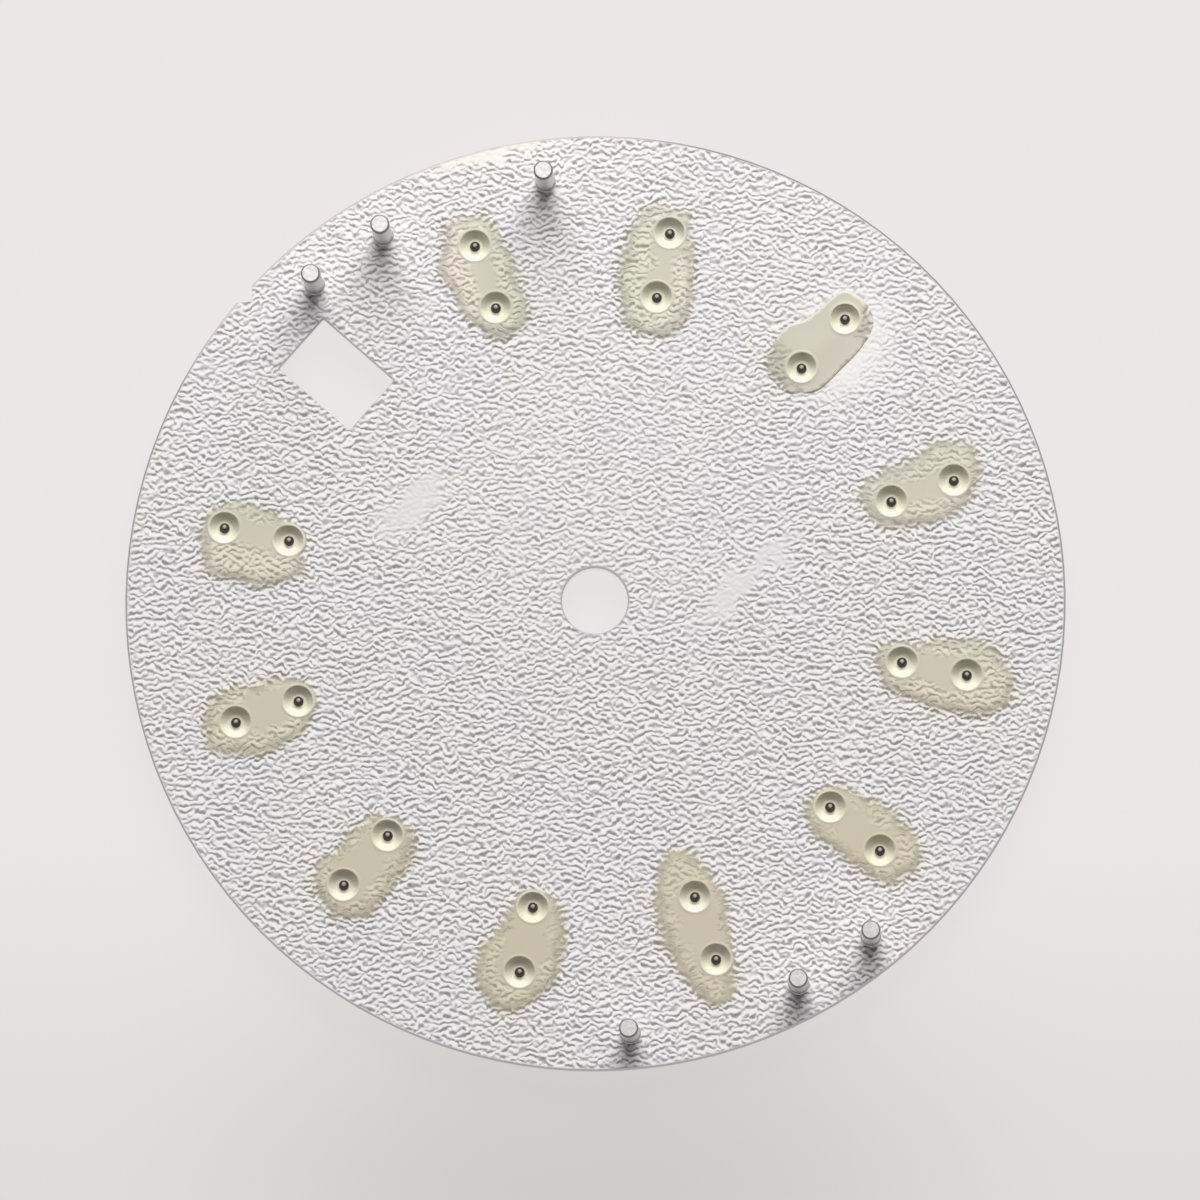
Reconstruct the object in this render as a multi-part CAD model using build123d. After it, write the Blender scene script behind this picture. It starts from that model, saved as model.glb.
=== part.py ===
import os
from math import copysign, cos, pi, radians, sin, tan

from build123d import *

# A bare watch dial, lying with its back up. Lengths are millimetres.
# The back face is the plane Z = 0, so the feet stand up along +Z and the front
# hangs below it. Twelve o'clock points along +Y. Seen from the back the hours
# run the other way round, so three o'clock lies along -X.

# Dial plate
dial_diameter = 28.5
plate_thickness = 0.4
edge_break = 0.05
hand_hole_diameter = 2.0
rim_notch_depth = 0.36
rim_notch_angle = 90.0

# Divisions of the dial
hours_in_turn = 12
minutes_in_turn = 60

# Date window
window_length = 2.86
window_width = 2.03
window_corner_radius = 0.06
window_bevel = 0.12

# Seats of the index feet: a bore with a conical cup on the back
index_foot_pitch = 2.0
index_foot_diameter = 0.29
index_foot_play = 0.02
cup_mouth_diameter = 0.93
cup_floor_diameter = 0.52
cup_depth = 0.24
index_tip_recess = 0.05

# Adhesive spots on the back
glue_thickness = 0.05
glue_length = 3.9
glue_width = 2.3
glue_collar_height = 0.06
glue_collar_land = 0.02
glue_wave_share = 0.05
glue_fullness_share = 0.78
glue_outline_points = 12

# Hour indices on the front
index_length = 3.8
index_width = 1.1
top_index_width = 1.9
index_height = 0.55
index_facet = 0.15
lume_margin = 0.26
lume_depth = 0.25
lume_play = 0.01
lume_recess = 0.03

# Layers on the front
coat_thickness = 0.05
print_thickness = 0.03

# Minute track, inside a plain border at the rim and clear of the indices
rim_border = 0.75
minute_tick_length = 0.7
minute_tick_width = 0.1
hour_tick_length = 0.9
hour_tick_width = 0.25
index_end_gap = 0.22

# Dial feet
foot_diameter = 0.58
foot_height = 2.4
foot_tip_break = 0.05
foot_braze_radius = 0.04
upper_foot_inset = 1.32
upper_foot_angle = 48.1
lower_foot_inset = 1.1
lower_foot_angle = 226.1
crown_turns = {"crown_3": 0.0, "crown_3_8": 23.2, "crown_4_2": 34.6}

# How far a cut runs past the face that it opens
overrun = 0.2

# Length, width, shift outward and shift to the left of each adhesive spot,
# as shares of the nominal length and width, and the phase of its wavy edge
glue_spot_shares = {
    12: (0.97, 1.00, -0.02, 0.02, 0.10),
    1: (1.01, 0.99, -0.03, 0.07, 0.62),
    2: (1.00, 0.93, 0.02, 0.03, 0.35),
    4: (0.93, 1.16, 0.01, 0.14, 0.80),
    5: (0.98, 1.02, 0.04, -0.06, 0.24),
    6: (0.95, 0.98, 0.02, 0.00, 0.51),
    7: (1.02, 1.12, 0.06, 0.01, 0.93),
    8: (1.20, 0.86, 0.01, -0.11, 0.05),
    9: (1.01, 0.98, 0.03, 0.04, 0.44),
    10: (1.14, 1.06, 0.03, -0.08, 0.71),
    11: (0.94, 0.96, 0.00, 0.09, 0.16),
}

front_z = -plate_thickness
face_z = front_z - coat_thickness
track_outer_radius = dial_diameter / 2 - rim_border
hour_circle_radius = track_outer_radius - hour_tick_length - index_end_gap - index_length / 2
foot_offsets = (-index_foot_pitch / 2, index_foot_pitch / 2)
index_hours = sorted(glue_spot_shares)
window_hour = next(hour for hour in range(1, hours_in_turn + 1) if hour not in index_hours)
standing = (Align.CENTER, Align.CENTER, Align.MIN)
hanging = (Align.CENTER, Align.CENTER, Align.MAX)


def at_hour(hour, radius):
    """The place on the dial at an hour and a radius, with X pointing outward."""
    return Rot(Z=90 + hour * 360 / hours_in_turn) * Pos(X=radius)


def rim_notch():
    """The V cut into the rim beside the date window, as an area."""
    mouth = rim_notch_depth + overrun
    half_mouth = mouth * tan(radians(rim_notch_angle / 2))
    tip = dial_diameter / 2 - rim_notch_depth
    return Polygon((tip, 0), (tip + mouth, half_mouth), (tip + mouth, -half_mouth), align=None)


def window_area(growth):
    """The date window as an area, grown on every side by one amount."""
    return RectangleRounded(
        window_length + 2 * growth, window_width + 2 * growth, window_corner_radius + growth
    )


def dial_outline(diameter, window_growth):
    """The dial as an area, with its hand hole, date window and rim notch."""
    area = Circle(diameter / 2) - Circle(hand_hole_diameter / 2)
    area -= at_hour(window_hour, hour_circle_radius) * window_area(window_growth)
    area -= at_hour(window_hour, 0) * rim_notch()
    return area


def cup(lift):
    """The cone of one index seat, raised by a lift and opened past the back."""
    cone = Cone(cup_floor_diameter / 2, cup_mouth_diameter / 2, cup_depth, align=hanging)
    opening = Cylinder(cup_mouth_diameter / 2, overrun, align=standing)
    return Pos(Z=lift) * (cone + opening)


def bore(diameter, low, high):
    """A round bar from one height to another."""
    return Pos(Z=low) * Cylinder(diameter / 2, high - low, align=standing)


def index_seats(hour, shape):
    """One shape at each of the two seats of an hour index."""
    return [at_hour(hour, hour_circle_radius + offset) * shape for offset in foot_offsets]


def make_plate():
    plate = Pos(Z=front_z) * extrude(dial_outline(dial_diameter, 0), plate_thickness)
    seat = cup(0) + bore(index_foot_diameter + 2 * index_foot_play, front_z - overrun, 0)
    for hour in index_hours:
        plate -= index_seats(hour, seat)
    rim = [
        edge
        for edge in plate.edges().filter_by(GeomType.CIRCLE)
        if edge.radius > dial_diameter / 2 - edge_break
    ]
    plate = chamfer(rim, edge_break)
    return plate - window_bevel_cut()


def window_bevel_cut():
    """The bevel round the date window on the front, as the piece that it takes away."""
    place = at_hour(window_hour, hour_circle_radius) * Pos(Z=front_z)
    return loft([place * window_area(window_bevel), place * Pos(Z=window_bevel) * window_area(0)])


def make_front_coat():
    coat = Pos(Z=face_z) * extrude(
        dial_outline(dial_diameter - 2 * edge_break, window_bevel), coat_thickness
    )
    hole = bore(index_foot_diameter + 2 * index_foot_play, face_z - overrun, front_z + overrun)
    for hour in index_hours:
        coat -= index_seats(hour, hole)
    return coat


def make_dial_foot():
    """A plain pin with a flat end, its edge broken, and a small fillet of braze round its root."""
    radius = foot_diameter / 2
    root = (radius + foot_braze_radius, 0)
    shank_low = (radius, foot_braze_radius)
    shank_high = (radius, foot_height - foot_tip_break)
    flat_edge = (radius - foot_tip_break, foot_height)
    outline = [
        Line((0, 0), root),
        RadiusArc(root, shank_low, foot_braze_radius),
        Line(shank_low, shank_high),
        Line(shank_high, flat_edge),
        Line(flat_edge, (0, foot_height)),
        Line((0, foot_height), (0, 0)),
    ]
    profile = Plane.XZ * make_face(outline)
    return revolve(profile, Axis.Z)


def fuller(part):
    """A sine or cosine pushed outward, so that an oval turns into a fuller, squarer one."""
    return copysign(abs(part) ** glue_fullness_share, part)


def make_glue_outline(hour):
    """A closed wavy outline round the two seats of an index, as an area."""
    length_share, width_share, outward_share, left_share, phase_share = glue_spot_shares[hour]
    half_length = glue_length * length_share / 2
    half_width = glue_width * width_share / 2
    centre = Vector(glue_length * outward_share, glue_width * left_share)
    points = []
    for step in range(glue_outline_points):
        turn = 2 * pi * step / glue_outline_points
        swell = 1 + glue_wave_share * cos(3 * turn + 2 * pi * phase_share) * cos(turn - 4 * pi * phase_share)
        along = half_length * fuller(cos(turn)) * swell
        across = half_width * fuller(sin(turn)) * swell
        points.append(centre + Vector(along, across))
    return make_face(Spline(*points, periodic=True))


def make_glue_spot(hour):
    """The film over a pair of seats, with the lining of both cups and a collar round each tip."""
    film = at_hour(hour, hour_circle_radius) * extrude(make_glue_outline(hour), glue_thickness)
    floor = -cup_depth + glue_thickness
    lining = cup(0) & bore(dial_diameter, -cup_depth, 0)
    inner = index_foot_diameter / 2
    outer = cup_floor_diameter / 2
    slope_end = inner + glue_collar_land
    collar_top = floor + glue_collar_height
    profile = Polyline((inner, floor), (outer, floor), (slope_end, collar_top), (inner, collar_top), close=True)
    collar = revolve(Plane.XZ * make_face(profile), Axis.Z)
    for seat in index_seats(hour, lining):
        film += seat
    for seat in index_seats(hour, cup(glue_thickness)):
        film -= seat
    for seat in index_seats(hour, collar):
        film += seat
    for seat in index_seats(hour, bore(index_foot_diameter, -cup_depth - overrun, overrun)):
        film -= seat
    return film


def index_foot():
    """One foot of an hour index, with its round tip just under the back of the dial."""
    radius = index_foot_diameter / 2
    tip_centre = -index_tip_recess - radius
    return bore(index_foot_diameter, face_z, tip_centre) + Pos(Z=tip_centre) * Sphere(radius)


def lume_slot(width, margin):
    """The area of the channel in an hour index, drawn in by a margin."""
    slot_width = width - 2 * margin
    return RectangleRounded(index_length - 2 * margin, slot_width, slot_width / 4)


def make_index(hour):
    """An applied hour index with faceted edges, its channel and its two feet."""
    width = top_index_width if hour == hours_in_turn else index_width
    body = extrude(Rectangle(index_length, width), -index_height)
    body = chamfer(body.faces().sort_by(Axis.Z)[0].edges(), index_facet)
    body -= Pos(Z=-index_height) * extrude(lume_slot(width, lume_margin), lume_depth)
    for offset in foot_offsets:
        body += Pos(X=offset, Z=-face_z) * index_foot()
    return at_hour(hour, hour_circle_radius) * Pos(Z=face_z) * body


def make_lume(hour):
    """The luminous filling of an hour index, a little below its rim."""
    width = top_index_width if hour == hours_in_turn else index_width
    area = lume_slot(width, lume_margin + lume_play)
    filling = extrude(area, lume_depth - lume_recess)
    return at_hour(hour, hour_circle_radius) * Pos(Z=face_z - index_height + lume_recess) * filling


def make_minute_track():
    """The printed ticks of the minutes, each a thin separate bar."""
    minutes_per_hour = minutes_in_turn // hours_in_turn
    ticks = []
    for minute in range(minutes_in_turn):
        on_hour = minute % minutes_per_hour == 0
        length = hour_tick_length if on_hour else minute_tick_length
        width = hour_tick_width if on_hour else minute_tick_width
        tick = Box(length, width, print_thickness, align=(Align.MAX, Align.CENTER, Align.MAX))
        ticks.append(at_hour(minute / minutes_per_hour, track_outer_radius) * Pos(Z=face_z) * tick)
    return Compound(children=ticks)


def write_part(name, shape):
    export_step(shape, f"parts/{name}.step")


os.makedirs("parts", exist_ok=True)
write_part("dial_plate", make_plate())
write_part("front_coat", make_front_coat())
write_part("minute_track", make_minute_track())
for crown, turn in crown_turns.items():
    upper = Rot(Z=90 + upper_foot_angle + turn) * Pos(X=dial_diameter / 2 - upper_foot_inset)
    lower = Rot(Z=90 + lower_foot_angle + turn) * Pos(X=dial_diameter / 2 - lower_foot_inset)
    write_part(f"dial_foot_{crown}_upper", upper * make_dial_foot())
    write_part(f"dial_foot_{crown}_lower", lower * make_dial_foot())
for hour in index_hours:
    write_part(f"index_{hour:02d}", make_index(hour))
    write_part(f"lume_{hour:02d}", make_lume(hour))
    write_part(f"adhesive_{hour:02d}", make_glue_spot(hour))
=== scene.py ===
import math

import bpy
from bpy.props import FloatProperty, FloatVectorProperty, PointerProperty
from bpy.types import Operator, Panel, PropertyGroup
from mathutils import Matrix, Vector, geometry


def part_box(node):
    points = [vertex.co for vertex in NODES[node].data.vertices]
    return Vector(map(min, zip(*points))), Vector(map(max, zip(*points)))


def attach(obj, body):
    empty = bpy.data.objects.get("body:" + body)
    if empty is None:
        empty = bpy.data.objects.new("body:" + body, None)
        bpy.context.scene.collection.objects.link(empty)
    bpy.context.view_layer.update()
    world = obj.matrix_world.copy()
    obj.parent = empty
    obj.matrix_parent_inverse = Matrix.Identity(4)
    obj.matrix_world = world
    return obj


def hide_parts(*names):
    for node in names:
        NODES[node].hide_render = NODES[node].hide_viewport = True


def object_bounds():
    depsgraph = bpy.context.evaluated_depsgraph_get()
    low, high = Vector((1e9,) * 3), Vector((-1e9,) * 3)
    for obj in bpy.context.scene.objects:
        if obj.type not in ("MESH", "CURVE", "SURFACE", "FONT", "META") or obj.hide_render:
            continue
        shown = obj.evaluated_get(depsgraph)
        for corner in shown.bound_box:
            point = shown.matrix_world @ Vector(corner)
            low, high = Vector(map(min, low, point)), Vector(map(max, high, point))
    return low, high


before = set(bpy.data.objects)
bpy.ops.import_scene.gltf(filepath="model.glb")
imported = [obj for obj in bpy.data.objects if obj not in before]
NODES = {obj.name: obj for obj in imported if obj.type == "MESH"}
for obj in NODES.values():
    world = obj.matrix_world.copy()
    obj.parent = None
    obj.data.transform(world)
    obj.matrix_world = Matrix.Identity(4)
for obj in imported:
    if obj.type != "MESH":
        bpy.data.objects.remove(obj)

bl_info = {
    "name": "Watch dial, back up",
    "version": (1, 0, 0),
    "blender": (4, 5, 0),
    "location": "3D View > Sidebar > Dial",
    "description": "Finishes a bare watch dial and sets a small studio round it",
    "category": "Object",
}

MM = 0.001
CAD_LOW, CAD_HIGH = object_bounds()
HOURS = sorted(name[-2:] for name in NODES if name.startswith("lume_"))


def length(name, description, default):
    """A property that holds a length, given in millimetres."""
    return FloatProperty(
        name=name, description=description, default=default * MM, unit="LENGTH", precision=6
    )


def share(name, description, default):
    """A property that holds a plain number."""
    return FloatProperty(name=name, description=description, default=default, precision=3)


def angle(name, description, degrees):
    """A property that holds an angle, given in degrees."""
    return FloatProperty(
        name=name, description=description, default=math.radians(degrees), unit="ROTATION"
    )


def colour(name, description, default):
    """A property that holds a linear colour."""
    return FloatVectorProperty(
        name=name, description=description, default=default, subtype="COLOR", min=0, max=1
    )


class ReliefSettings(PropertyGroup):
    """The wrinkled silver plating on the back of the dial."""

    spacing: length("Wrinkle spacing", "From one ridge to the next", 0.184)
    grain: angle("Grain direction", "Direction of the wrinkles on the back", 41.3)
    alignment: share("Alignment", "How far the wrinkles follow the grain", 0.57)
    wander: share("Wander", "How far the wrinkles stray, in spacings", 0.85)
    height: length("Wrinkle height", "From the valleys to the ridges", 0.0034)
    silver: colour("Silver", "Plating on the ridges", (0.9, 0.873, 0.863))
    # Painted shade: the plating is coloured darker down in its valleys
    valley_shade: colour("Valley", "Painted shade down in the valleys", (0.262, 0.252, 0.252))
    roughness: share("Roughness", "Roughness of the plating", 0.75)
    gloss: share("Gloss", "How much the plating shines, where 0.5 is usual", 0.25)
    # Painted light: the walls and edges are painted lighter than the back
    bare: share("Painted wall light", "How bright the walls and edges are, where 1 is the back", 1.2)
    edge_shade: share("Edge shade", "How much darker the broken outer edge is", 0.6)
    rim_shade: share("Rim shade", "How much darker the back is along its rim", 0.22)
    hole_shade: share("Hole shade", "How much darker the back is round its holes", 0.5)


class AdhesiveSettings(PropertyGroup):
    """The adhesive over the feet of the indices."""

    thickness: length("Film thickness", "Over the plain back", 0.05)
    seat_pitch: length("Seat pitch", "Between the two feet of an index", 2.0)
    mouth: length("Mouth diameter", "Of the seats, at the top of the film", 0.93)
    depth: length("Bowl depth", "From the top of the film to the floor of a seat", 0.25)
    bore: length("Bore", "Of the hole in the film, just inside the index foot", 0.27)
    lip: length("Lip height", "Of the raised ring round a seat", 0.009)
    collar: length("Collar height", "Of the ring of adhesive round a foot", 0.016)
    spread: length("Spread", "How far the film creeps out beyond its main outline", 0.22)
    olive: colour("Olive", "Where the film is greenish", (0.595, 0.59, 0.475))
    rose: colour("Rose", "Where the film is pinkish", (0.665, 0.605, 0.515))
    amber: colour("Amber", "Where the film is thicker and yellower", (0.64, 0.587, 0.45))
    # Painted highlight on the film's wrinkles and painted shade between them
    ridge_light: share("Ridges", "How bright the wrinkles of the film are", 1.25)
    seam: share("Seams", "How bright the film is between its wrinkles", 0.55)
    # Painted shade in the crevice where the film meets a foot
    crevice_shade: colour("Crevice shade", "Thin dark ring where the film meets a foot", (0.06, 0.05, 0.035))
    bowl: colour("Bowls", "Where the film lines the seats", (0.724, 0.691, 0.55))
    roughness: share("Roughness", "Roughness of the film", 0.6)
    gloss: share("Gloss", "How much the film shines, where 0.5 is usual", 0.3)


class MetalSettings(PropertyGroup):
    """The locating feet and the hour indices."""

    foot: colour("Feet", "Bright flat ends of the locating feet", (0.66, 0.65, 0.635))
    root_flux_and_shade_height: length("Root height", "How far up the feet the flux, braze and painted shade show", 0.8)
    shade_ring_height: length("Shade ring height", "How far down from the ends the painted shade shows", 0.32)
    # Painted light: the sides of the feet are painted lighter than their ends
    shank_painted_light: colour("Shanks", "Sides of the locating feet, painted lighter", (0.72, 0.71, 0.695))
    # Flux and braze, with painted shade where the feet meet the back
    root: colour("Roots", "Flux, braze and painted shade round the roots of the feet", (0.4, 0.39, 0.375))
    # Painted shade round the ends of the feet
    ring: colour("Rings", "Painted shade round the ends of the feet", (0.24, 0.235, 0.23))
    index: colour("Indices", "Polished metal of the indices", (0.72, 0.71, 0.69))
    # Painted reflection: the ends of the index feet are painted dark, for the dark surroundings they
    # mirror
    tip: colour("Index feet", "Dark ends of the index feet", (0.018, 0.014, 0.008))
    # Painted highlight: a bright spot on the ends of the index feet
    painted_glint: colour("Painted glints", "Painted highlight on the ends of the index feet", (0.27, 0.26, 0.225))


class FrontSettings(PropertyGroup):
    """The hidden front of the dial."""

    coat: colour("Coat", "Brushed and lacquered front", (0.78, 0.78, 0.77))
    lume: colour("Luminous filling", "Pale filling of the indices", (0.80, 0.86, 0.72))
    ink: colour("Ink", "Printed minute track", (0.03, 0.03, 0.035))


class StudioSettings(PropertyGroup):
    """Camera, light and floor."""

    distance: length("Camera distance", "From the dial to the camera", 300.0)
    width: length("Frame width", "Width of the picture at the dial", 36.35)
    key_level: share("Key level", "How bright the key light makes white on the dial", 0.87)
    fill_level: share("Fill level", "How bright the pale surroundings make white", 0.13)
    key_angle: angle("Key angle", "From the dial's own axis to the key light", 51)
    key_side: share("Key side", "How far the key light stands to the right of straight up", 0.09)
    key_distance: length("Key distance", "From the dial to the key light", 210.0)
    key_size: length("Key size", "Width of the key light", 190.0)
    floor: colour("Floor", "Pale floor", (0.825, 0.792, 0.787))
    # Painted shadow on the floor, towards the bottom of the picture
    floor_shadow: colour("Floor, painted shadow", "Pale floor in its painted shadow", (0.63, 0.615, 0.595))
    shadow_share: share("Shadow share", "Share of the floor's look that takes shadow", 0.06)


class Value:
    """One socket of a shader tree. Arithmetic on it adds Math nodes."""

    def __init__(self, sheet, socket):
        self.sheet = sheet
        self.socket = socket

    def __add__(self, other):
        return self.sheet.math("ADD", self, other)

    def __sub__(self, other):
        return self.sheet.math("SUBTRACT", self, other)

    def __mul__(self, other):
        return self.sheet.math("MULTIPLY", self, other)

    def __radd__(self, other):
        return self.sheet.math("ADD", other, self)

    def __rsub__(self, other):
        return self.sheet.math("SUBTRACT", other, self)

    def __rmul__(self, other):
        return self.sheet.math("MULTIPLY", other, self)

    def __gt__(self, other):
        return self.sheet.math("GREATER_THAN", self, other)

    def __lt__(self, other):
        return self.sheet.math("LESS_THAN", self, other)

    def high(self, other):
        return self.sheet.math("MAXIMUM", self, other)

    def low(self, other):
        return self.sheet.math("MINIMUM", self, other)

    def step(self, start, end):
        """Rises smoothly from 0 at start to 1 at end."""
        return self.sheet.node(
            "ShaderNodeMapRange",
            {"interpolation_type": "SMOOTHSTEP"},
            {"Value": self, "From Min": start, "From Max": end},
        )

    def twin(self, name):
        """Another output of the node that this value comes from."""
        return Value(self.sheet, self.socket.node.outputs[name])


class Sheet:
    """A shader tree that is filled in from Python expressions."""

    def __init__(self, tree):
        self.tree = tree
        tree.nodes.clear()

    def node(self, kind, settings=None, inputs=(), output=0):
        """Adds a node, sets its settings, then its inputs, and returns one of its outputs."""
        made = self.tree.nodes.new(kind)
        for name, value in (settings or {}).items():
            setattr(made, name, value)
        pairs = inputs.items() if isinstance(inputs, dict) else enumerate(inputs)
        for key, value in pairs:
            socket = made.inputs[key]
            if isinstance(value, Value):
                self.tree.links.new(value.socket, socket)
            elif socket.type == "RGBA":
                socket.default_value = (*value, 1.0)
            else:
                socket.default_value = value
        return Value(self, made.outputs[output])

    def end(self, output, shader):
        """Joins the finished shader to the tree's output."""
        made = self.tree.nodes.new(output)
        self.tree.links.new(shader.socket, made.inputs["Surface"])

    def math(self, operation, *terms):
        return self.node("ShaderNodeMath", {"operation": operation}, terms)

    def vector(self, operation, *terms, output=0):
        return self.node("ShaderNodeVectorMath", {"operation": operation}, terms, output)

    def axis(self, vector, name):
        return self.node("ShaderNodeSeparateXYZ", None, [vector], name)

    def place(self):
        """The place on the dial, in metres."""
        return self.node("ShaderNodeTexCoord", output="Object")

    def turned(self, vector, centre, turn, size):
        """A place as seen from a centre, turned and measured in units of a size."""
        return self.node(
            "ShaderNodeMapping",
            {"vector_type": "TEXTURE"},
            {"Vector": vector, "Location": centre, "Rotation": (0, 0, turn), "Scale": size},
        )

    def noise(self, vector, size, detail=1.0, flat=True, output=0):
        """A soft noise whose spots are about one size across, given in metres."""
        return self.node(
            "ShaderNodeTexNoise",
            {"noise_dimensions": "2D" if flat else "3D"},
            {"Vector": vector, "Scale": 1 / size, "Detail": detail, "Roughness": 0.45},
            output,
        )

    def shift(self, vector, amount, size):
        """A place pushed about by a soft noise."""
        push = self.vector("SUBTRACT", self.noise(vector, size, output=1), (0.5, 0.5, 0.5))
        push = self.vector("MULTIPLY", push, (amount, amount, 0.0))
        return self.vector("ADD", vector, push)

    def blend(self, factor, first, second):
        """Mixes two colours."""
        return self.node(
            "ShaderNodeMix", {"data_type": "RGBA"}, {0: factor, 6: first, 7: second}, 2
        )

    def tinted(self, base, tint):
        """One colour multiplied by another."""
        settings = {"data_type": "RGBA", "blend_type": "MULTIPLY"}
        return self.node("ShaderNodeMix", settings, {0: 1.0, 6: base, 7: tint}, 2)

    def scaled(self, base, amount):
        """A colour made brighter or darker by an amount."""
        return self.node("ShaderNodeVectorMath", {"operation": "SCALE"}, {0: base, 3: amount})

    def layer(self, name):
        """A value that the mesh carries at each of its points."""
        return self.node("ShaderNodeAttribute", {"attribute_name": name}, output="Fac")

    def upward(self, place):
        """How far a place is towards the top of the picture."""
        return self.vector("DOT_PRODUCT", place, PICTURE_UP, output="Value")

    def facing_up(self):
        """1 on faces that look straight out of the back, 0 on all others."""
        face = self.node("ShaderNodeNewGeometry", output="True Normal")
        return self.axis(face, "Z") > 0.9

    def bump(self, height):
        """A normal bent by a height in metres."""
        return self.node("ShaderNodeBump", None, {"Distance": 1.0, "Height": height})

    def oval(self, vector, centre, size, turn):
        """How far a place is from the middle of an oval, where 1 is its edge. In millimetres."""
        centre = (centre[0] * MM, centre[1] * MM, 0)
        half = (size[0] * MM / 2, size[1] * MM / 2, 1)
        seen = self.turned(vector, centre, math.radians(turn), half)
        return self.vector("LENGTH", seen, output="Value")


def new_material(name, build):
    """A material whose surface is what a function builds on its sheet."""
    material = bpy.data.materials.new(name)
    material.use_nodes = True
    sheet = Sheet(material.node_tree)
    sheet.end("ShaderNodeOutputMaterial", build(sheet))
    return material


def principled(sheet, **inputs):
    """The surface shader, with its sockets given by name with underscores for spaces."""
    named = {name.replace("_", " "): value for name, value in inputs.items()}
    return sheet.node("ShaderNodeBsdfPrincipled", None, named)


def darker(tone, part):
    """A colour scaled down to a part of itself."""
    return [value * part for value in tone]


def dress(name, material):
    """Puts a material on a node of the frame."""
    node = NODES[name]
    if not node.material_slots:
        node.data.materials.append(material)
    for slot in node.material_slots:
        slot.material = material


# The top of the picture, its brightest side, and where the painted highlight faces on the ends of
# the index feet
PICTURE_UP = Vector((-0.6556, 0.7471, 0.1096))
BRIGHT_SIDE = Vector((-0.916, 0.4, 0.0))
GLINT_FACING = (Vector((0, 0, 1)) + 0.24 * PICTURE_UP).normalized()


def hour_place(hour):
    """The middle of an hour index and the direction outward from the centre of the dial."""
    low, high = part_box("lume_" + hour)
    middle = ((low + high) / 2).xy
    return middle, middle.normalized()


# The relief where the wrinkles are rubbed flat
MEAN_RELIEF = 0.55


def wrinkles(sheet, look):
    """The relief of the back, from 0 in its valleys to 1 on its ridges."""
    unit = look.spacing
    place = sheet.turned(sheet.place(), (0, 0, 0), look.grain, (unit, unit, unit))
    place = sheet.shift(place, look.wander, 1.5)
    bands = 1.5
    phase = sheet.node(
        "ShaderNodeTexGabor",
        {"gabor_type": "2D"},
        {
            "Vector": place,
            "Scale": 1 / bands,
            "Frequency": bands,
            "Anisotropy": look.alignment,
            "Orientation": math.pi / 2,
        },
        "Phase",
    )
    wave = sheet.math("COSINE", phase * (2 * math.pi))
    strength = (phase.twin("Intensity") * 2.2).low(1.0)
    crumbs = sheet.noise(place, 0.55, 1.0) - 0.5
    return wave * (0.1 + 0.4 * strength) + crumbs * 0.3 + 0.5


# Of each spot, the middle and the size in millimetres and the turn in degrees
RUBBED_SPOTS = [
    ((-6.1, -1.45), (3.2, 1.5), 79),
    ((2.95, 2.9), (3.4, 0.95), 90),
    ((3.15, 4.5), (2.2, 0.8), 84),
    ((9.3, -8.85), (0.8, 0.6), 41),
]
WETTED_SPOTS = [
    ((-11.62, 8.02), (5.2, 0.6), 55),
    ((0.45, 10.8), (4.3, 3.5), 90),
]


def smooth_spots(sheet, spots):
    """How smooth the back is, 1 where something made the wrinkles flat."""
    place = sheet.shift(sheet.place(), 1.1 * MM, 0.7 * MM)
    smooth = None
    for centre, size, turn in spots:
        spot = 1 - sheet.oval(place, centre, size, turn).step(0.3, 1.2)
        smooth = spot if smooth is None else smooth.high(spot)
    return smooth


# In millimetres, and the two shifts are towards the top of the picture
WINDOW_SIZE = (2.86, 2.03)
HAND_HOLE = 2.0
SHADE_SHIFT = 0.035
CALM_SHIFT = 4.5


def window_side(sheet, place):
    """How far a place is outside the date window."""
    hour_circle = hour_place("12")[0].length
    away = sheet.vector("ABSOLUTE", sheet.vector("ADD", place, (hour_circle, 0.0, 0.0)))
    sides = [sheet.axis(away, name) - size * MM / 2 for name, size in zip("XY", WINDOW_SIZE)]
    return sides[0].high(sides[1])


def hole_flattening_and_shade(sheet, place):
    """Where the wrinkles are pressed flat round the hand hole and the date window, and where shade
    is painted round them.
    """
    place = sheet.vector("SUBTRACT", place, tuple(PICTURE_UP * SHADE_SHIFT * MM))
    reach = sheet.vector("LENGTH", place, output="Value")
    hole = HAND_HOLE / 2 * MM
    outside_hole = reach.step(hole, hole + 0.09 * MM)
    outside_window = window_side(sheet, place).step(0.0, 0.06 * MM)
    return 1 - outside_hole * outside_window


def calmness(sheet, place):
    """How calm the wrinkles are, most of all above the middle and some towards the top."""
    away = sheet.vector("SUBTRACT", place, tuple(PICTURE_UP * CALM_SHIFT * MM))
    middle = 1 - sheet.vector("LENGTH", away, output="Value").step(2 * MM, 9 * MM)
    return middle.high(sheet.upward(place).step(3 * MM, 10 * MM) * 0.6)


def silver_tone(sheet, look, relief):
    """The colour of the plating, with painted shade in its valleys and drifting a little in hue."""
    base = sheet.blend(relief.step(-0.1, 0.85), look.valley_shade, look.silver)
    drift = sheet.noise(sheet.place(), 3.5 * MM, 1.0).step(0.35, 0.65)
    return sheet.tinted(base, sheet.blend(drift, (0.988, 0.992, 1.012), (1.006, 1.0, 0.982)))


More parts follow.
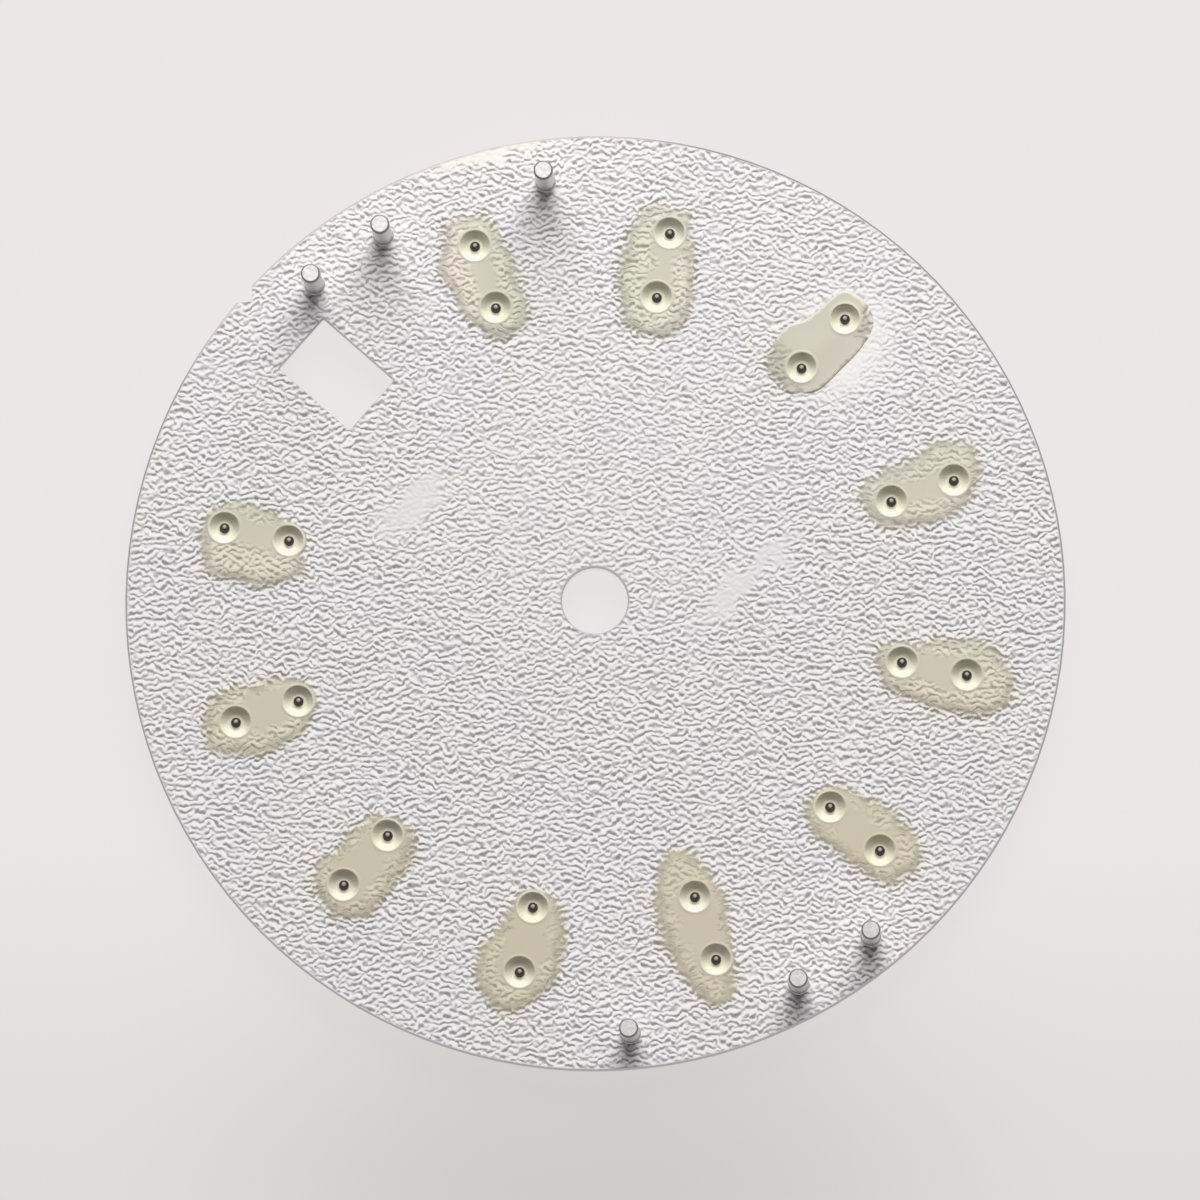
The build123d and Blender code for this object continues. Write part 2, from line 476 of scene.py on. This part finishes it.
class DIAL_OT_plate(Operator):
    """Give the plate its wrinkled silver plating, with painted shade in its valleys, along its rim
    and round its holes, and painted light on its walls
    """

    bl_idname = "dial.dress_plate"
    bl_label = "Plate"

    def execute(self, context):
        look = context.scene.dial_relief
        radius = max(CAD_HIGH.x, CAD_HIGH.y)

        def build(sheet):
            place = sheet.place()
            back = sheet.facing_up() * (sheet.axis(place, "Z") > -0.01 * MM)
            reach = sheet.vector("LENGTH", place, output="Value")
            rim = reach.step(radius - 0.12 * MM, radius - 0.03 * MM)
            holes = hole_flattening_and_shade(sheet, place)
            wetted = smooth_spots(sheet, WETTED_SPOTS)
            smooth = smooth_spots(sheet, RUBBED_SPOTS).high(wetted)
            depth = back * (1 - smooth * 0.85) * (1 - rim.high(holes))
            depth = depth * (1.14 - 0.24 * calmness(sheet, place))
            relief = (wrinkles(sheet, look) - MEAN_RELIEF) * depth + wetted * 0.15 + MEAN_RELIEF
            # Painted light: the plating is painted lighter towards the bottom of the picture, where
            # the key light is weaker
            pale = 1.05 - 0.06 * sheet.upward(place).step(-12 * MM, 2 * MM)
            # Painted shade along the broken outer edge, along the rim and round the holes, with less
            # of it on the bright side
            lit_side = sheet.vector("DOT_PRODUCT", place, BRIGHT_SIDE, output="Value")
            lit_side = lit_side.step(11 * MM, 12.8 * MM)
            edge = (1 - back) * reach.step(radius - 0.2 * MM, radius - 0.1 * MM)
            edge_shade = edge * (1 - lit_side * 0.8) * look.edge_shade
            rim_shade = rim * (look.rim_shade - 0.08 * lit_side)
            # Painted light on the walls and edges, above the back's own tone
            back_shade = rim_shade.high(holes * look.hole_shade) + (look.bare - 1)
            grey = pale * (look.bare - edge_shade - back * back_shade)
            tone = silver_tone(sheet, look, relief)
            cream = sheet.blend(wetted, (1.0, 1.0, 1.0), (1.0, 0.985, 0.955))
            return principled(
                sheet,
                Base_Color=sheet.scaled(sheet.tinted(tone, cream), grey),
                Metallic=1 - back,
                Specular_IOR_Level=look.gloss,
                Roughness=0.15 + (look.roughness - 0.15) * back,
                Normal=sheet.bump(relief * look.height),
            )

        dress("dial_plate", new_material("silver_plating", build))
        return {"FINISHED"}


class DIAL_OT_feet(Operator):
    """Give the locating feet their satin metal, with painted shade at their roots and round their
    ends and painted light on their sides
    """

    bl_idname = "dial.dress_feet"
    bl_label = "Locating feet"

    def execute(self, context):
        look = context.scene.dial_metal

        def build(sheet):
            place = sheet.place()
            grain = sheet.noise(place, 0.11 * MM, 3.0, flat=False)
            height = sheet.axis(place, "Z") + (grain - 0.5) * (0.2 * MM)
            # Flux and braze with painted shade at the roots, and the sides painted lighter above
            # them
            sides = sheet.blend(height.step(0.0, look.root_flux_and_shade_height), look.root, look.shank_painted_light)
            down = CAD_HIGH.z - sheet.axis(place, "Z")
            # Painted shade round the ends of the feet
            sides = sheet.blend(down.step(0.06 * MM, look.shade_ring_height), look.ring, sides)
            ends = sheet.blend(grain.step(0.3, 0.7), darker(look.foot, 0.84), look.foot)
            return principled(
                sheet,
                Base_Color=sheet.blend(sheet.facing_up(), sides, ends),
                Metallic=0.6,
                Roughness=0.36 + grain * 0.14,
                Normal=sheet.bump(grain * (0.006 * MM)),
            )

        material = new_material("foot_satin", build)
        for name in NODES:
            if name.startswith("dial_foot_"):
                dress(name, material)
        return {"FINISHED"}


class DIAL_OT_indices(Operator):
    """Polish the hour indices and paint the ends of their feet dark, as a painted reflection with a
    painted highlight
    """

    bl_idname = "dial.dress_indices"
    bl_label = "Hour indices"

    def execute(self, context):
        metal = context.scene.dial_metal
        front = context.scene.dial_front

        def polished(sheet):
            place = sheet.place()
            # Painted reflection: dark ends on the index feet, for the dark surroundings they mirror
            tip = sheet.axis(place, "Z") > -0.4 * MM
            # Painted highlight: a bright spot where an end faces towards the light
            facing = sheet.node("ShaderNodeTexCoord", output="Normal")
            painted_glint = sheet.vector("DOT_PRODUCT", facing, GLINT_FACING, output="Value")
            end = sheet.blend(painted_glint.step(0.84, 0.99), metal.tip, metal.painted_glint)
            grain = sheet.noise(place, 0.07 * MM, 2.0, flat=False)
            return principled(
                sheet,
                Base_Color=sheet.blend(tip, metal.index, end),
                Metallic=1 - tip,
                Roughness=0.16 + tip * 0.25 + grain * 0.05,
                Normal=sheet.bump(grain * (0.0008 * MM)),
            )

        def luminous(sheet):
            grain = sheet.noise(sheet.place(), 0.033 * MM, 2.0, flat=False)
            return principled(
                sheet,
                Base_Color=sheet.blend(grain, darker(front.lume, 0.8), front.lume),
                Roughness=0.85,
                Normal=sheet.bump(grain * (0.01 * MM)),
            )

        metal_material = new_material("index_polish", polished)
        lume_material = new_material("luminous_filling", luminous)
        for hour in HOURS:
            dress("index_" + hour, metal_material)
            dress("lume_" + hour, lume_material)
        return {"FINISHED"}


class DIAL_OT_front(Operator):
    """Brush the front coat and ink the minute track"""

    bl_idname = "dial.dress_front"
    bl_label = "Front"

    def execute(self, context):
        look = context.scene.dial_front

        def brushed(sheet):
            place = sheet.place()
            turn = sheet.math("ARCTAN2", sheet.axis(place, "Y"), sheet.axis(place, "X"))
            radius = sheet.vector("LENGTH", place, output="Value")
            spokes = sheet.node("ShaderNodeCombineXYZ", None, [turn * 160, radius * 90, 0.0])
            streak = sheet.noise(spokes, 1.0, 4.0)
            return principled(
                sheet,
                Base_Color=sheet.blend(streak, darker(look.coat, 0.88), look.coat),
                Metallic=0.8,
                Roughness=0.26 + streak * 0.16,
                Coat_Weight=0.7,
                Coat_Roughness=0.05,
                Normal=sheet.bump(streak * (0.004 * MM)),
            )

        def printed(sheet):
            grain = sheet.noise(sheet.place(), 0.025 * MM, 2.0, flat=False)
            return principled(
                sheet,
                Base_Color=sheet.blend(grain, darker(look.ink, 0.7), look.ink),
                Roughness=0.5,
                Normal=sheet.bump(grain * (0.002 * MM)),
            )

        dress("front_coat", new_material("brushed_coat", brushed))
        dress("minute_track", new_material("track_ink", printed))
        return {"FINISHED"}


def hump(value):
    """A smooth hump, 1 at zero and 0 beyond one on either side."""
    return math.cos(math.pi * value / 2) ** 2 if abs(value) < 1 else 0.0


def ramp(value):
    """Rises smoothly from 0 at zero to 1 at one."""
    value = min(1.0, max(0.0, value))
    return value * value * (3 - 2 * value)


def segment_distance(spot, start, end):
    """The distance of a spot from the straight line between two places."""
    along = end - start
    part = min(1.0, max(0.0, (spot - start).dot(along) / along.length_squared))
    return (spot - start - along * part).length


def rim_distance(spot, outline):
    """The distance of a spot from the nearest side of an outline."""
    pairs = zip(outline, outline[1:] + outline[:1])
    return min(segment_distance(spot, start, end) for start, end in pairs)


def inside(spot, outline):
    """True if a spot lies within a closed outline."""
    hit = False
    for start, end in zip(outline, outline[1:] + outline[:1]):
        if (start.y > spot.y) != (end.y > spot.y):
            cross = start.x + (spot.y - start.y) * (end.x - start.x) / (end.y - start.y)
            if spot.x < cross:
                hit = not hit
    return hit


# The outline of the film at 12 o'clock, from the middle of its index, in millimetres
TOP_FILM = [
    (-0.63, 1.58), (-0.76, 0.91), (-0.84, 0.35), (-0.93, 0.08), (-1.15, -0.24), (-1.19, -0.70),
    (-1.10, -1.25), (-0.95, -1.66), (-0.45, -1.88), (0.23, -1.84), (0.66, -1.46), (0.88, -1.07),
    (0.94, -0.20), (0.98, 0.49), (0.90, 1.10), (0.72, 1.50), (0.32, 1.74), (-0.15, 1.80),
]
# The middles and sizes of its two wrinkled ends on the dial, in millimetres
TOP_FILM_ENDS = [((-0.55, 8.85), (1.9, 1.7)), ((1.0, 12.0), (1.5, 1.7))]


def rounded(corners):
    """A closed ring of corners with two more points on each side, on a smooth curve through them."""
    count = len(corners)
    ring = []
    for n, here in enumerate(corners):
        before, after, beyond = (corners[(n + step) % count] for step in (-1, 1, 2))
        out = here + (after - before) / 6
        back = after - (beyond - here) / 6
        ring += geometry.interpolate_bezier(here, out, back, after, 4)[:-1]
    return ring


# By hour: the pinkish side of the film in degrees, the depth of its wrinkles, and where it
# crept further out or less far, as directions in degrees and lengths in millimetres
ROSE_SIDES = {"01": 41, "02": 221, "08": 41, "11": 340, "12": 0}
CRINKLES = {"01": 1.25, "02": 1.2, "04": 1.2, "05": 1.3, "06": 1.2, "08": 0.8, "10": 1.2}
MAIN_ROSE_SIDE = 311
LOBES = {
    "01": [(341, 0.3), (221, 0.15)],
    "02": [(221, 0.25), (11, 0.25)],
    "04": [(311, -0.05), (76, -0.25), (191, -0.1)],
    "05": [(321, 0.25), (101, -0.28), (176, -0.15)],
    "06": [(61, 0.05), (321, 0.2), (146, -0.2)],
    "07": [(256, 0.35), (161, -0.4), (311, -0.2)],
    "08": [(116, 0.33), (216, 0.22)],
    "09": [(161, -0.38), (281, -0.15), (11, 0.2), (221, 0.25)],
    "10": [(61, 0.25), (181, -0.3), (261, -0.22)],
    "11": [(101, 0.3), (171, -0.4), (326, 0.22), (236, 0.2)],
}


def crept(spot, centre, hour, look):
    """A spot of an outline, pushed out by as far as the film crept there."""
    out = (spot - centre).normalized()
    amount = look.spread
    for turn, extra in LOBES.get(hour, []):
        toward = Vector((math.cos(math.radians(turn)), math.sin(math.radians(turn))))
        amount += extra * MM * max(0.0, out.dot(toward)) ** 2
    return spot + out * amount


def clear_of(spot, seat, reach):
    """A spot of an outline, kept at least a reach away from a seat."""
    away = spot - seat
    return spot if away.length > reach else seat + away.normalized() * reach


def film_outline(hour, middle, seats, look):
    """The outline of a film, in order, as seen from the middle of the index."""
    if hour == "12":
        return rounded([Vector(corner) * MM for corner in TOP_FILM])
    node = NODES["adhesive_" + hour]
    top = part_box("adhesive_" + hour)[1].z - 0.001 * MM
    ring = []
    for vertex in node.data.vertices:
        spot = vertex.co.xy - middle
        clear = min((spot - seat).length for seat in seats) > 0.6 * look.mouth
        if vertex.co.z > top and clear:
            ring.append(spot)
    centre = sum(ring, Vector((0, 0))) / len(ring)
    ring.sort(key=lambda spot: math.atan2(*(spot - centre)))
    least = 0.01 * MM
    ring = [spot for spot, last in zip(ring, ring[-1:] + ring[:-1]) if (spot - last).length > least]
    ring = [crept(spot, centre, hour, look) for spot in ring]
    for seat in seats:
        ring = [clear_of(spot, seat, 0.75 * look.mouth) for spot in ring]
    return ring


# The flat part of a bowl, and a brim's thickness as a share and how far in the film is full
BOWL_FLOOR = 0.47
TORN_BRIM = (0.1, 0.7 * MM)
POOLED_BRIM = (0.25, 1.2 * MM)


def film_top(distance, rim, brim, look):
    """The height of the film at a distance from a seat's axis and from the film's rim."""
    mouth = look.mouth / 2
    edge, shoulder = brim
    height = look.thickness * (edge + (1 - edge) * ramp(rim / shoulder))
    if distance < mouth:
        up_wall = max(0.0, (distance / mouth - BOWL_FLOOR) / (1 - BOWL_FLOOR))
        height = look.thickness - look.depth * (1 - up_wall ** 1.6)
    height += look.collar * hump((distance - look.bore / 2) / (0.06 * MM))
    height += look.lip * hump((distance - mouth - 0.02 * MM) / (0.07 * MM))
    return height


def film_underside(distance, look):
    """The height of the film's underside, where it lies in a seat or on the back."""
    mouth = look.mouth / 2
    floor = 0.56 * mouth
    part = min(1.0, max(0.0, (distance - floor) / (mouth - floor)))
    return (0.002 * MM) - (look.depth - 0.01 * MM) * (1 - part)


def film_points(outline, seats, look):
    """The points and fixed edges of a film: its outline, rings round both seats and a fine grid."""
    points = list(outline)
    edges = [(n, (n + 1) % len(outline)) for n in range(len(outline))]
    sides, rings = 36, 24
    ring_step, grid_step = 0.023 * MM, 0.11 * MM
    radii = [look.bore / 2 + ring_step * n for n in range(rings)]
    for seat in seats:
        for radius in radii:
            first = len(points)
            for n in range(sides):
                turn = 2 * math.pi * n / sides
                points.append(seat + Vector((math.cos(turn), math.sin(turn))) * radius)
            edges += [(first + n, first + (n + 1) % sides) for n in range(sides)]
    centre = sum(outline, Vector((0, 0))) / len(outline)
    rows = int(max((spot - centre).length for spot in outline) / (0.86 * grid_step))
    for row in range(-rows, rows + 1):
        for column in range(-rows, rows + 1):
            spot = centre + Vector((column + 0.5 * (row % 2), row * 0.866)) * grid_step
            clear = min((spot - seat).length for seat in seats) > radii[-1] + 0.5 * grid_step
            if clear and inside(spot, outline) and rim_distance(spot, outline) > 0.5 * grid_step:
                points.append(spot)
    return points, edges


# What each point of a film carries for its material
FILM_LAYERS = ("rim", "pool", "land", "rose", "crinkle")


def make_film(hour, look):
    """One adhesive film as a closed mesh, with its two bowls, lips and collars."""
    middle, outward = hour_place(hour)
    seats = [outward * side * look.seat_pitch / 2 for side in (-1, 1)]
    outline = film_outline(hour, middle, seats, look)
    points, edges = film_points(outline, seats, look)
    flat, _, faces, _, _, _ = geometry.delaunay_2d_cdt(points, edges, [], 0, 1e-9)
    kept = []
    for face in faces:
        spot = sum((flat[n] for n in face), Vector((0, 0))) / len(face)
        clear = min((spot - seat).length for seat in seats) > 0.495 * look.bore
        if clear and inside(spot, outline):
            kept.append(tuple(face))
    brim = POOLED_BRIM if hour == "12" else TORN_BRIM
    tops, unders = [], []
    layers = {name: [] for name in FILM_LAYERS}
    rose_side = math.radians(ROSE_SIDES.get(hour, MAIN_ROSE_SIDE))
    toward_rose = Vector((math.cos(rose_side), math.sin(rose_side)))
    for spot in flat:
        rim = rim_distance(spot, outline)
        away = min((spot - seat).length for seat in seats)
        place = middle + spot
        tops.append((place.x, place.y, film_top(away, rim, brim, look)))
        unders.append((place.x, place.y, film_underside(away, look)))
        pool = segment_distance(spot, *[seat * 0.75 for seat in seats])
        layers["rim"].append(rim / MM)
        layers["pool"].append(pool / MM)
        layers["land"].append((away - look.mouth / 2) / MM)
        layers["rose"].append(spot.dot(toward_rose) / MM)
        layers["crinkle"].append(CRINKLES.get(hour, 1.0))
    count = len(flat)
    sides = {(a, b) for face in kept for a, b in zip(face, face[1:] + face[:1])}
    walls = [(a, count + a, count + b, b) for a, b in sorted(sides) if (b, a) not in sides]
    under_faces = [tuple(count + n for n in reversed(face)) for face in kept]
    mesh = bpy.data.meshes.new("adhesive_film_" + hour)
    mesh.from_pydata(tops + unders, [], kept + under_faces + walls)
    for name, values in layers.items():
        layer = mesh.attributes.new(name, "FLOAT", "POINT")
        layer.data.foreach_set("value", values + values)
    mesh.validate()
    mesh.shade_smooth()
    film = bpy.data.objects.new("adhesive_film_" + hour, mesh)
    bpy.context.scene.collection.objects.link(film)
    return film


class DIAL_OT_adhesive(Operator):
    """Model the adhesive films over the feet of the indices"""

    bl_idname = "dial.make_adhesive"
    bl_label = "Adhesive"

    def execute(self, context):
        look = context.scene.dial_adhesive
        relief_look = context.scene.dial_relief

        def build(sheet, ragged):
            rim, pool, land, rose, crinkle = [sheet.layer(name) for name in FILM_LAYERS]
            place = sheet.place()
            cloud = sheet.noise(place, 0.7 * MM, 2.0) - 0.5
            tint = sheet.noise(place, 1.9 * MM, 1.0) - 0.5
            relief = wrinkles(sheet, relief_look)
            upper = sheet.upward(place).step(-9 * MM, 7 * MM)
            beside_seats = land.step(0.02, 0.14)
            if ragged:
                flow = 0.35 * (1 - upper)
                bare = (pool + cloud * 0.8 - flow).step(0.12, 0.55) * beside_seats
                cover = 0.92 * (rim + cloud * 0.5 + (0.5 - relief) * 0.3).step(0.1, 0.65)
            else:
                ends = [sheet.oval(place, spot, size, 0) for spot, size in TOP_FILM_ENDS]
                ends = ends[0].low(ends[1])
                bare = (1 - (ends + cloud).step(0.6, 1.1)) * beside_seats
                cover = (rim + (1 - relief) * bare * 0.3).step(0.0, 0.02 + 0.4 * bare)
                cover = cover * (1 - 0.35 * bare)
            tone = sheet.blend((rose + tint * 2.0).step(-1.4, 1.4), look.olive, look.rose)
            tone = sheet.blend(upper, look.amber, tone)
            # Painted highlight on the ridges and painted shade in the seams of the film's wrinkles
            shade = look.seam + (look.ridge_light - look.seam) * relief.step(-0.1, 0.8)
            shade = (shade - 1) * bare * crinkle + 1
            # Painted highlight: a pale line along the outline of the film at 12 o'clock
            if not ragged:
                shade = shade * (1.05 - 0.14 * rim.step(0.02, 0.1))
            base = sheet.scaled(tone, shade)
            cover = cover.high(1 - land.step(0.02, 0.12))
            base = sheet.blend(land < 0, base, look.bowl)
            # Painted shade in the crevice round each foot
            base = sheet.blend(land.step(-0.325, -0.295), look.crevice_shade, base)
            relief = (relief - MEAN_RELIEF) * bare * crinkle + MEAN_RELIEF
            return principled(
                sheet,
                Base_Color=base,
                Roughness=look.roughness,
                Specular_IOR_Level=look.gloss,
                Coat_Weight=0.05 + 0.15 * (land < 0),
                Coat_Roughness=0.4,
                Alpha=cover,
                Normal=sheet.bump(relief * (relief_look.height * 1.2)),
            )

        ragged = new_material("adhesive_ragged", lambda sheet: build(sheet, True))
        smooth = new_material("adhesive_smooth", lambda sheet: build(sheet, False))
        for hour in HOURS:
            film = make_film(hour, look)
            film.data.materials.append(smooth if hour == "12" else ragged)
            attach(film, "root")
            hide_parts("adhesive_" + hour)
        return {"FINISHED"}


# From the dial to the camera, and how far beside the dial's middle the camera looks
CAMERA_BACK = Vector((0.0918, -0.0652, 0.9936)).normalized()
AIM_RIGHT, AIM_UP = 0.1545 * MM, 0.0303 * MM


def picture_axes():
    """The picture's right and up, and the direction from the dial to the camera."""
    right = PICTURE_UP.cross(CAMERA_BACK).normalized()
    up = CAMERA_BACK.cross(right)
    return right, up, CAMERA_BACK


class DIAL_OT_stage(Operator):
    """Set the camera, the soft key light, the pale surroundings and the floor with its painted
    shadow
    """

    bl_idname = "dial.set_stage"
    bl_label = "Studio"

    def execute(self, context):
        look = context.scene.dial_studio
        right, up, back = picture_axes()
        aim = right * AIM_RIGHT + up * AIM_UP
        camera = bpy.data.objects.new("camera", bpy.data.cameras.new("camera"))
        camera.data.sensor_width = 36.0
        camera.data.lens = camera.data.sensor_width * look.distance / look.width
        camera.data.clip_start = 0.01
        turn = Matrix((right, up, back)).transposed().to_4x4()
        camera.matrix_world = Matrix.Translation(aim + back * look.distance) @ turn
        context.scene.collection.objects.link(camera)
        context.scene.camera = camera

        flat_up = Vector((up.x, up.y, 0)).normalized()
        flat_right = Vector((right.x, right.y, 0)).normalized()
        across = (flat_up + flat_right * look.key_side).normalized()
        toward = Vector((0, 0, 1)) * math.cos(look.key_angle) + across * math.sin(look.key_angle)
        lamp = bpy.data.lights.new("key", "AREA")
        lamp.shape = "DISK"
        lamp.size = look.key_size
        spread = look.key_distance ** 2 + (look.key_size / 2) ** 2
        lamp.energy = look.key_level * math.pi ** 2 * spread / toward.z
        key = bpy.data.objects.new("key", lamp)
        key.rotation_mode = "QUATERNION"
        key.rotation_quaternion = toward.to_track_quat("Z", "Y")
        key.location = toward * look.key_distance
        context.scene.collection.objects.link(key)

        world = bpy.data.worlds.new("surroundings")
        world.use_nodes = True
        sheet = Sheet(world.node_tree)
        pale = sheet.node("ShaderNodeBackground", None, {"Color": look.floor, "Strength": 1.0})
        fill = sheet.node(
            "ShaderNodeBackground", None, {"Color": (1, 1, 1), "Strength": look.fill_level}
        )
        sheet.end(
            "ShaderNodeOutputWorld",
            sheet.node("ShaderNodeMixShader", None, [seen_directly(sheet), fill, pale]),
        )
        context.scene.world = world

        def floor_look(sheet):
            place = sheet.place()
            # Painted shadow: the floor is darker towards the bottom of the picture
            down = sheet.turned(place, (0, 0, 0), math.atan2(-flat_up.y, -flat_up.x), (1, 1, 1))
            across = sheet.math("ABSOLUTE", sheet.axis(down, "Y")).step(2 * MM, 16 * MM)
            along = sheet.axis(down, "X")
            far = along.step(26 * MM, 80 * MM)
            low = along.step(6 * MM, 18 * MM) * (1 - 0.6 * across) * (1 - far)
            tone = sheet.blend(low, look.floor, look.floor_shadow)
            lit = sheet.node("ShaderNodeBsdfDiffuse", None, {"Color": tone})
            plain = sheet.node("ShaderNodeEmission", None, {"Color": tone, "Strength": 1.0})
            part = seen_directly(sheet) * (1 - look.shadow_share)
            return sheet.node("ShaderNodeMixShader", None, [part, lit, plain])

        reach = 1.5
        mesh = bpy.data.meshes.new("floor")
        corners = [(-reach, -reach), (reach, -reach), (reach, reach), (-reach, reach)]
        mesh.from_pydata([(x, y, CAD_LOW.z) for x, y in corners], [], [(0, 1, 2, 3)])
        floor = bpy.data.objects.new("floor", mesh)
        mesh.materials.append(new_material("pale_floor", floor_look))
        context.scene.collection.objects.link(floor)
        context.scene.view_settings.view_transform = "Standard"
        return {"FINISHED"}


def seen_directly(sheet):
    """1 for rays from the camera, from glossy metal and through glass."""
    kinds = [
        sheet.node("ShaderNodeLightPath", None, (), name)
        for name in ("Is Camera Ray", "Is Glossy Ray", "Is Transmission Ray")
    ]
    return kinds[0].high(kinds[1]).high(kinds[2])


class DIAL_PT_panel(Panel):
    """Lists the steps that finish the dial"""

    bl_idname = "DIAL_PT_panel"
    bl_label = "Watch dial"
    bl_space_type = "VIEW_3D"
    bl_region_type = "UI"
    bl_category = "Dial"

    def draw(self, context):
        for step in STEPS:
            self.layout.operator(step.bl_idname)
        for name in SETTINGS:
            group = getattr(context.scene, name)
            box = self.layout.box()
            for key in group.__annotations__:
                box.prop(group, key)


SETTINGS = {
    "dial_relief": ReliefSettings,
    "dial_adhesive": AdhesiveSettings,
    "dial_metal": MetalSettings,
    "dial_front": FrontSettings,
    "dial_studio": StudioSettings,
}
STEPS = [
    DIAL_OT_plate,
    DIAL_OT_feet,
    DIAL_OT_indices,
    DIAL_OT_front,
    DIAL_OT_adhesive,
    DIAL_OT_stage,
]
CLASSES = [*SETTINGS.values(), *STEPS, DIAL_PT_panel]


def register():
    for item in CLASSES:
        bpy.utils.register_class(item)
    for name, group in SETTINGS.items():
        setattr(bpy.types.Scene, name, PointerProperty(type=group))


def unregister():
    for name in SETTINGS:
        delattr(bpy.types.Scene, name)
    for item in reversed(CLASSES):
        bpy.utils.unregister_class(item)


def main():
    register()
    bpy.ops.dial.dress_plate()
    bpy.ops.dial.dress_feet()
    bpy.ops.dial.dress_indices()
    bpy.ops.dial.dress_front()
    bpy.ops.dial.make_adhesive()
    bpy.ops.dial.set_stage()


if __name__ == "__main__":
    main()
